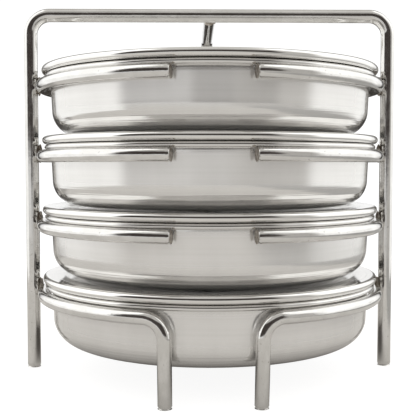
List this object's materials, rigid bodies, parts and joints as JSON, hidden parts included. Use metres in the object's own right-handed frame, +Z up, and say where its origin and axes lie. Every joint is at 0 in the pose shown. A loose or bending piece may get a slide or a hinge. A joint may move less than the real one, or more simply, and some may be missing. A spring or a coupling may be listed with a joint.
{
  "type": "stacked pan carrier",
  "caption": "Welded round-rod carrier with a bail handle and legs, holding a stack of shallow round lidded steel pans that hang by their rims in open rings.",
  "frame": {"origin": "on the floor, under the middle of the whole object's footprint; the common axis of the pans stands 5.28 mm in front of it", "axes": "+Z up, +X towards the right upright, -Y towards the front where the rings are open"},
  "size_m": [0.2234, 0.2129, 0.2172],
  "materials": {
    "polished_rod": "polished",
    "satin_sheet": "satin",
    "bright_lid": "polished",
    "weld_metal": "matte"
  },
  "bodies": {
    "rack": {"handle_frame": "polished_rod", "rear_leg": "polished_rod", "ring_1": "polished_rod", "ring_2": "polished_rod", "ring_3": "polished_rod", "base_ring": "polished_rod", "weld_left_1": "weld_metal", "weld_right_1": "weld_metal", "weld_rear_1": "weld_metal", "weld_left_2": "weld_metal", "weld_right_2": "weld_metal", "weld_rear_2": "weld_metal", "weld_left_3": "weld_metal", "weld_right_3": "weld_metal", "weld_rear_3": "weld_metal", "weld_left_4": "weld_metal", "weld_right_4": "weld_metal", "weld_rear_4": "weld_metal", "weld_handle": "weld_metal"},
    "pan_4": {"pan_4": "satin_sheet"},
    "lid_4": {"lid_4": "bright_lid"},
    "pan_3": {"pan_3": "satin_sheet"},
    "lid_3": {"lid_3": "bright_lid"},
    "pan_2": {"pan_2": "satin_sheet"},
    "lid_2": {"lid_2": "bright_lid"},
    "pan_1": {"pan_1": "satin_sheet"},
    "lid_1": {"lid_1": "bright_lid"}
  },
  "joints": [
    {"name": "pan_4_lift", "type": "slide", "parent": "rack", "child": "pan_4", "axis": [0, 0, 1], "range_m": [0, 0.007]},
    {"name": "pan_3_lift", "type": "slide", "parent": "pan_4", "child": "pan_3", "axis": [0, 0, 1], "range_m": [0, 0.007]},
    {"name": "pan_2_lift", "type": "slide", "parent": "pan_3", "child": "pan_2", "axis": [0, 0, 1], "range_m": [0, 0.007]},
    {"name": "pan_1_lift", "type": "slide", "parent": "pan_2", "child": "pan_1", "axis": [0, 0, 1], "range_m": [0, 0.007]},
    {"name": "lid_4_slide", "type": "slide", "parent": "pan_4", "child": "lid_4", "axis": [0, -1, 0], "range_m": [0, 0.215]},
    {"name": "lid_3_slide", "type": "slide", "parent": "pan_3", "child": "lid_3", "axis": [0, -1, 0], "range_m": [0, 0.215]},
    {"name": "lid_2_slide", "type": "slide", "parent": "pan_2", "child": "lid_2", "axis": [0, -1, 0], "range_m": [0, 0.215]},
    {"name": "lid_1_slide", "type": "slide", "parent": "pan_1", "child": "lid_1", "axis": [0, -1, 0], "range_m": [0, 0.215]}
  ]
}
